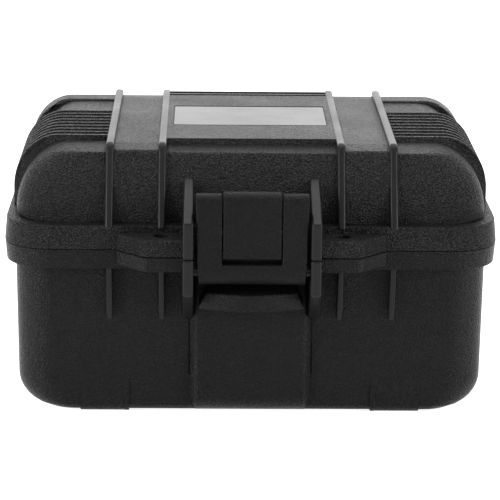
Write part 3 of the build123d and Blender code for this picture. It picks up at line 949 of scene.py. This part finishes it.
def arch_outline(foot_reach, run, top, bend):
    """A rib in side view: its outer line over the lid with round bends, then its line in the wall."""
    foot = lid_rim_height - 0.003
    inner_foot = dome_front_inset + shell_wall / 2
    inner_top = inner_foot + (dome_height - lid_rim_height) * dome_slope
    inner_height = dome_height - shell_wall / 2
    outline = [
        (foot_reach, foot),
        (foot_reach, lid_rim_height),
        (foot_reach + run, top),
        (rim_depth - foot_reach - run, top),
        (rim_depth - foot_reach, lid_rim_height),
        (rim_depth - foot_reach, foot),
        (rim_depth - inner_foot, foot),
        (rim_depth - inner_foot, lid_rim_height),
        (rim_depth - inner_top, inner_height),
        (inner_top, inner_height),
        (inner_foot, lid_rim_height),
        (inner_foot, foot),
    ]
    return rounded(rounded(outline, 3, bend, 6), 2, bend, 6)


def strap_outline(lift):
    """The lid's front, top and back in side view, raised by lift, as one line from front to back."""
    front = [front_profile(step / dome_levels, lift) for step in range(dome_levels + 1)]
    front = [(dome_front_inset + drawn, height) for drawn, height in front]
    return front + [(rim_depth - drawn, height) for drawn, height in reversed(front)]


for side, hand in ((-1, "left"), (1, "right")):
    for place, position in zip(("inner", "outer"), rib_positions):
        rib = side_plate(
            "lid_rib_" + place + "_" + hand,
            arch_outline(rib_foot_reach, rib_run, rib_top, rib_bend),
            side * position,
            rib_width,
        )
        soften(rib, 0.0017, segments=4)
        finish(rib, "lid", ["lid_shell"], smooth_skin)
    strap = side_plate(
        "lid_strap_" + hand,
        strap_outline(strap_lift) + strap_outline(-shell_wall / 2)[::-1],
        side * sum(rib_positions) / 2,
        rib_positions[1] - rib_positions[0],
    )
    soften(strap, 0)
    finish(strap, "lid", ["lid_shell"], wall_skin)

# Centre panel and bars. A raised field of the lid's moulding between the inner ribs, with a recess
# for the plate, and two low bars behind it.
panel_top = 0.0596
panel_start = 0.0385
panel_end = 0.1757
panel_flank = 0.0026
panel_wide = 2 * (rib_positions[0] - rib_width / 2 + 0.0005)
plate_wide = 0.0959
plate_deep = 0.0559
plate_start = 0.0809
plate_thick = 0.0028
plate_sink = 0.0001
plate_gap = 0.0014
bar_runs = ((0.1762, 0.1800), (0.1843, 0.1867))
panel = side_plate(
    "lid_centre_panel",
    [
        (panel_start, dome_height - 0.0015),
        (panel_start + panel_flank, panel_top),
        (panel_end - panel_flank, panel_top),
        (panel_end, dome_height - 0.0015),
    ],
    0,
    panel_wide,
)
bpy.ops.object.select_all(action="DESELECT")
bpy.ops.mesh.primitive_cube_add(
    size=1,
    location=(0, front_y + plate_start + plate_deep / 2, part_z + panel_top),
    scale=(plate_wide + 0.0004, plate_deep + 2 * plate_gap, 2 * (plate_sink + plate_thick)),
)
cut(panel, bpy.context.object)
soften(panel, 0.0004)
finish(panel, "lid", ["lid_shell"], wall_skin)
for number, (start, end) in enumerate(bar_runs, start=1):
    bar = side_plate(
        "lid_bar_" + str(number),
        [
            (start - 0.0005, dome_height - 0.001),
            (start, panel_top),
            (end, panel_top),
            (end + 0.001, dome_height - 0.001),
        ],
        0,
        panel_wide,
    )
    soften(bar, 0.0005)
    finish(bar, "lid", ["lid_shell"], wall_skin)

# Name plate. A smooth, blank satin inset, a moulding of its own that is pressed into the centre
# panel's recess.
plate_skin = moulded_plastic(
    "smooth_plate_plastic",
    (0.045, 0.045, 0.046),
    roughness=0.22,
    grain=0.0012,
    depth=0.00001,
    gloss=0.1,
)
name_plate = side_plate(
    "name_plate_inset",
    [
        (plate_start, panel_top - plate_sink - plate_thick),
        (plate_start, panel_top - plate_sink),
        (plate_start + plate_deep, panel_top - plate_sink),
        (plate_start + plate_deep, panel_top - plate_sink - plate_thick),
    ],
    0,
    plate_wide,
)
soften(name_plate, 0.0003)
finish(name_plate, "lid", ["name_plate"], plate_skin)

# Fluted bands. On each side of the lid nine narrow ridges run from the outer rib over the top and
# down the side, with a sloped lip in front of them and a plain raised shoulder behind. All are part
# of the lid's moulding.
band_start = 0.0515
band_reach = 0.0028
band_top = 0.0590
band_curve_width = 0.0275
band_curve_height = 0.033
ridge_count = 9
flute_pitch = 0.00895
flute_width = 0.0052
flute_depth = 0.0022
shoulder_start = 0.165
shoulder_end = 0.186
band_foot = lid_rim_height - 0.001
curve_steps = 16


def band_piece(name, start, end, drop):
    """A stretch of the right band in front view, from the outer rib over the top and down the side."""
    top = band_top - drop
    half = case_half - dome_side_inset + band_reach - drop
    points = [(rib_positions[1], top)]
    for step in range(curve_steps + 1):
        angle = math.pi / 2 * (1 - step / curve_steps)
        points.append(
            (
                half - band_curve_width + band_curve_width * math.cos(angle),
                top - band_curve_height + band_curve_height * math.sin(angle),
            )
        )
    points.append((half, band_foot))
    inner_half = case_half - dome_side_inset - shell_wall / 2
    points.append((inner_half, band_foot))
    for step in range(curve_steps + 1):
        angle = math.pi / 2 * step / curve_steps
        points.append(
            (
                inner_half - side_curve_width + side_curve_width * math.cos(angle),
                dome_height - shell_wall / 2 - side_curve_height + side_curve_height * math.sin(angle),
            )
        )
    points.append((rib_positions[1], dome_height - shell_wall / 2))
    corners = [(x, front_y + start, part_z + max(height, band_foot)) for x, height in points]
    return plate(name, corners, (0, end - start, 0))


def slope_front(piece, start, back):
    """Slopes the front of a band piece: its outer line moves back and its line in the wall stays."""
    wall_x = case_half - dome_side_inset
    outer_share = 0.93
    for vertex in piece.data.vertices:
        x = abs(vertex.co.x)
        height = vertex.co.z - part_z
        in_wall = height < dome_height - shell_wall / 2 + 0.0001 and x < wall_x - 0.001
        outward = math.hypot(
            max(0, x - (wall_x + band_reach - band_curve_width)) / band_curve_width,
            max(0, height - (band_top - band_curve_height)) / band_curve_height,
        )
        inner = in_wall and outward <= outer_share
        if vertex.co.y < front_y + start + 0.001 and not inner:
            vertex.co.y += back


first_ridge = band_piece("ridge", band_start, band_start + flute_pitch - flute_width, 0)
soften(first_ridge, 0.0013, segments=4)
lip_start = band_start - 0.004
lip = band_piece("lip", lip_start, band_start + 0.002, 0)
slope_front(lip, lip_start, 0.0045)
soften(lip, 0.0007)
ridges = [first_ridge, lip]
for number in range(1, ridge_count):
    only(first_ridge)
    bpy.ops.object.duplicate()
    ridge = bpy.context.object
    ridge.data.transform(Matrix.Translation((0, number * flute_pitch, 0)))
    ridges.append(ridge)
band_end = band_start + ridge_count * flute_pitch - flute_width
flutes = band_piece("flutes", band_start + 0.0008, band_end - 0.0008, flute_depth)
soften(flutes, 0)
band = weld("lid_band_right", ridges + [flutes])
shoulder_drop = 0.0018
shoulder = band_piece("lid_shoulder_right", shoulder_start, shoulder_end, shoulder_drop)
slope_front(shoulder, shoulder_start, 0.005)
soften(shoulder, 0.0014, segments=4)
for piece, name in ((band, "lid_band_left"), (shoulder, "lid_shoulder_left")):
    other = mirrored(piece, name)
    finish(piece, "lid", ["lid_shell"], wall_skin)
    finish(other, "lid", ["lid_shell"], wall_skin)

# Keeper. A stout nose of the lid's moulding that is hidden behind the latch, and that the trigger's
# hook takes hold of.
keeper_width = 0.028
keeper_outline = [
    (0.015, 0.0302),
    (-0.0115, 0.0302),
    (-0.0115, 0.0270),
    (-0.0083, 0.0247),
    (0.012, 0.0176),
]
keeper = side_plate("lid_keeper", keeper_outline, 0, keeper_width)
soften(keeper, 0.0007)
finish(keeper, "lid", ["lid_shell"], smooth_skin)

# Seal. A black rubber cord of flat section, pressed into the roof of the lid rim's groove, just
# over the base's tongue.
rubber = moulded_plastic(
    "seal_rubber",
    (0.018, 0.018, 0.018),
    roughness=0.75,
    grain=0.0006,
    depth=0.00003,
)
seal_low = 0.00215
seal = rim_ring(
    "rim_seal",
    inset=0.0035,
    width=0.0040,
    low_z=part_z + seal_low,
    high_z=part_z + groove_roof,
)
soften(seal, 0.0005)
finish(seal, "lid", ["lid_seal"], rubber)

# Hinges. Two at the back, each a knuckle of the lid between two knuckles of the base. All are
# moulded with the shells and bored through for the hinge's steel pin.
hinge_position = 0.075
hinge_radius = 0.0055
hinge_bore = 0.00206
hinge_reach = 0.0065
lid_knuckle = 0.017
base_knuckle = 0.014
knuckle_gap = 0.0004


def knuckle(name, centre, width, toward, root):
    """A knuckle round the pin, with a leaf to the rim as high as root: toward is 1 for the lid, whose
    leaf goes up, and -1 for the base, whose leaf goes down."""
    axis = rim_depth + hinge_reach
    outline = [
        (rim_depth - 0.0015, toward * 0.0004),
        (rim_depth - 0.0015, toward * root),
        (rim_depth + 0.0012, toward * root),
    ]
    wrap_start = 30
    wrap_turn = 250
    wrap_steps = 14
    for step in range(wrap_steps + 1):
        angle = math.radians(wrap_start - wrap_turn * step / wrap_steps)
        outline.append((axis + hinge_radius * math.cos(angle), toward * hinge_radius * math.sin(angle)))
    piece = side_plate(name, outline, centre, width)
    bpy.ops.object.select_all(action="DESELECT")
    bpy.ops.mesh.primitive_cylinder_add(
        vertices=32,
        radius=hinge_bore,
        depth=2 * width,
        location=(centre, front_y + axis, part_z),
        rotation=(0, math.pi / 2, 0),
    )
    cut(piece, bpy.context.object)
    soften(piece, 0.0004, segments=2, angle=40)
    return piece


for side, hand in ((-1, "left"), (1, "right")):
    piece = knuckle("lid_knuckle_" + hand, side * hinge_position, lid_knuckle, 1, lid_rim_height)
    finish(piece, "lid", ["lid_shell"], smooth_skin)
    for place, shift in (("outer", 1), ("inner", -1)):
        centre = side * (hinge_position + shift * ((lid_knuckle + base_knuckle) / 2 + knuckle_gap))
        piece = knuckle("base_knuckle_" + place + "_" + hand, centre, base_knuckle, -1, base_rim_height)
        finish(piece, "base", ["base_shell"], smooth_skin)

# Latch frame. A U-shaped moulding, hinged low on its steel pin between the posts. Its round foot
# holds the pin, and its two arms stand on each side of the trigger.
latch_wide = 0.0674
latch_foot_wide = 0.0642
latch_top = 0.0388
latch_lean = 0.002
latch_face_reach = 0.0224
window_wide = 0.036
window_low = -0.0032
window_cut = 0.06
foot_height = -0.007
foot_steps = 8
barrel_drop = 0.0105
barrel_radius = 0.0068
barrel_turn = 190
barrel_steps = 12
crossbar_outline = [(-0.0147, -0.0038), (-0.0147, 0.007), (-0.0127, 0.007), (-0.0127, -0.0038)]
latch_skin = moulded_plastic(
    "latch_plastic",
    (0.007, 0.007, 0.0073),
    roughness=0.34,
    grain=0.0010,
    depth=0.0003,
    gloss=0.075,
    cavity_shade_amount=0.35,
)


def latch_face(height):
    """The front face's reach at a height: it leans back a little toward its top."""
    return -latch_face_reach + latch_lean * (height - window_low) / (latch_top - window_low)


frame_outline = [(latch_face(latch_top), latch_top)]
foot_start = latch_face(foot_height)
for step in range(foot_steps + 1):
    angle = math.pi / 2 * step / foot_steps
    frame_outline.append(
        (
            -latch_pin_reach + (foot_start + latch_pin_reach) * math.cos(angle),
            foot_height - (barrel_drop + barrel_radius + foot_height) * math.sin(angle),
        )
    )
for step in range(1, barrel_steps + 1):
    angle = math.radians(-90 + barrel_turn * step / barrel_steps)
    frame_outline.append(
        (
            -latch_pin_reach + barrel_radius * math.cos(angle),
            -barrel_drop + barrel_radius * math.sin(angle),
        )
    )
frame_outline += [
    (latch_face(latch_top) + 0.0092, latch_top - 0.0030),
    (latch_face(latch_top) + 0.0070, latch_top),
]
frame_body = side_plate("latch_frame_body", rounded(frame_outline, 0, 0.0055, 7), 0, latch_wide)
for vertex in frame_body.data.vertices:
    share = (vertex.co.z - part_z + barrel_drop + barrel_radius) / (latch_top + barrel_drop + barrel_radius)
    vertex.co.x *= (latch_foot_wide + (latch_wide - latch_foot_wide) * share) / latch_wide
bpy.ops.object.select_all(action="DESELECT")
bpy.ops.mesh.primitive_cube_add(
    size=1,
    location=(0, front_y - 0.02, part_z + window_low + window_cut / 2),
    scale=(window_wide, window_cut, window_cut),
)
cut(frame_body, bpy.context.object)
soften(frame_body, 0.0009, segments=4, angle=40)
crossbar = side_plate("crossbar", crossbar_outline, 0, window_wide + 0.002)
soften(crossbar, 0)
frame_body = weld("latch_frame_body", [frame_body, crossbar])
finish(frame_body, "latch", ["latch_frame"], latch_skin)

# Latch trigger. A rocker plate nearly flush with the frame, on its own small pin, with a hook over
# its top that holds the lid's keeper.
trigger_pin_y = joints["trigger_rock"]["pos_m"][1]
trigger_pin_z = joints["trigger_rock"]["pos_m"][2]
trigger_wide = window_wide - 0.0015
trigger_low = 0.0003
trigger_top = latch_top + 0.0018
trigger_thick = 0.0034
hook_reach = -0.0120
hook_low = 0.0315
trigger_outline = [
    (latch_face(trigger_low), trigger_low),
    (latch_face(trigger_top), trigger_top),
    (hook_reach, trigger_top - 0.0012),
    (hook_reach, hook_low),
    (-0.0154, 0.0318),
    (latch_face(hook_low) + trigger_thick, 0.0293),
    (latch_face(trigger_low) + trigger_thick, trigger_low),
]
lug_radius = 0.0032
lug_length = 0.004
lug_position = 0.012
trigger = side_plate("latch_trigger_plate", rounded(trigger_outline, 1, 0.0062, 8), 0, trigger_wide)
soften(trigger, 0.0008, segments=4, angle=35)
lugs = []
for side in (-1, 1):
    bpy.ops.object.select_all(action="DESELECT")
    bpy.ops.mesh.primitive_cylinder_add(
        vertices=32,
        radius=lug_radius,
        depth=lug_length,
        location=(side * lug_position, trigger_pin_y, trigger_pin_z),
        rotation=(0, math.pi / 2, 0),
    )
    lug = bpy.context.object
    bpy.ops.object.transform_apply(location=True, rotation=True, scale=True)
    soften(lug, 0.0003)
    lugs.append(lug)
trigger = weld("latch_trigger_plate", [trigger] + lugs)
finish(trigger, "trigger", ["latch_trigger"], latch_skin)

# Feet. Four flat pads of matt black rubber, fixed under the skids near the corners of the case, so
# that it stands on them and doesn't slide.
foot_skin = moulded_plastic(
    "foot_pad_rubber",
    (0.012, 0.012, 0.012),
    roughness=0.8,
    grain=0.0006,
    depth=0.00003,
)
foot_wide = 0.0241
foot_long = 0.030
foot_thick = 0.0023
foot_inset = 0.024
for side, hand in ((-1, "left"), (1, "right")):
    for row, end in ((-1, "front"), (1, "back")):
        bpy.ops.object.select_all(action="DESELECT")
        bpy.ops.mesh.primitive_cube_add(
            size=1,
            location=(
                side * (skid_start + skid_end) / 2,
                middle_y + row * (rim_depth / 2 - foot_inset - foot_long / 2),
                foot_thick / 2,
            ),
            scale=(foot_wide, foot_long, foot_thick),
        )
        pad = bpy.context.object
        pad.name = "foot_" + end + "_" + hand
        bpy.ops.object.transform_apply(location=True, rotation=True, scale=True)
        soften(pad, 0.0006)
        finish(pad, "base", ["foot_pad_" + end + "_" + hand], foot_skin)

# Pins and spring. The pins of the latch, the trigger and the two hinges, and the trigger's spring,
# are blackened drawn steel. They keep the form that they come with and only get this skin.
steel, link, add = new_material("drawn_steel")
steel_output = add("ShaderNodeOutputMaterial", 5, 0)
steel_shade = add("ShaderNodeBsdfPrincipled", 4, 0)
steel_shade.inputs["Base Color"].default_value = (0.02, 0.02, 0.021, 1)
steel_shade.inputs["Metallic"].default_value = 1.0
steel_place = add("ShaderNodeTexCoord", 0, 0)
steel_lines = add("ShaderNodeTexNoise", 1, 0)
steel_lines.inputs["Scale"].default_value = 900
steel_lines.inputs["Detail"].default_value = 4
steel_dull = add("ShaderNodeMapRange", 2, 0)
steel_dull.inputs["To Min"].default_value = 0.25
steel_dull.inputs["To Max"].default_value = 0.45
link(steel_place.outputs["Object"], steel_lines.inputs["Vector"])
link(steel_lines.outputs["Fac"], steel_dull.inputs["Value"])
link(steel_dull.outputs["Result"], steel_shade.inputs["Roughness"])
link(steel_shade.outputs[0], steel_output.inputs["Surface"])
for name in ("latch_pin", "trigger_pin", "trigger_spring", "hinge_pin_left", "hinge_pin_right"):
    pin = bpy.data.objects[name]
    pin.data.materials.clear()
    pin.data.materials.append(steel)
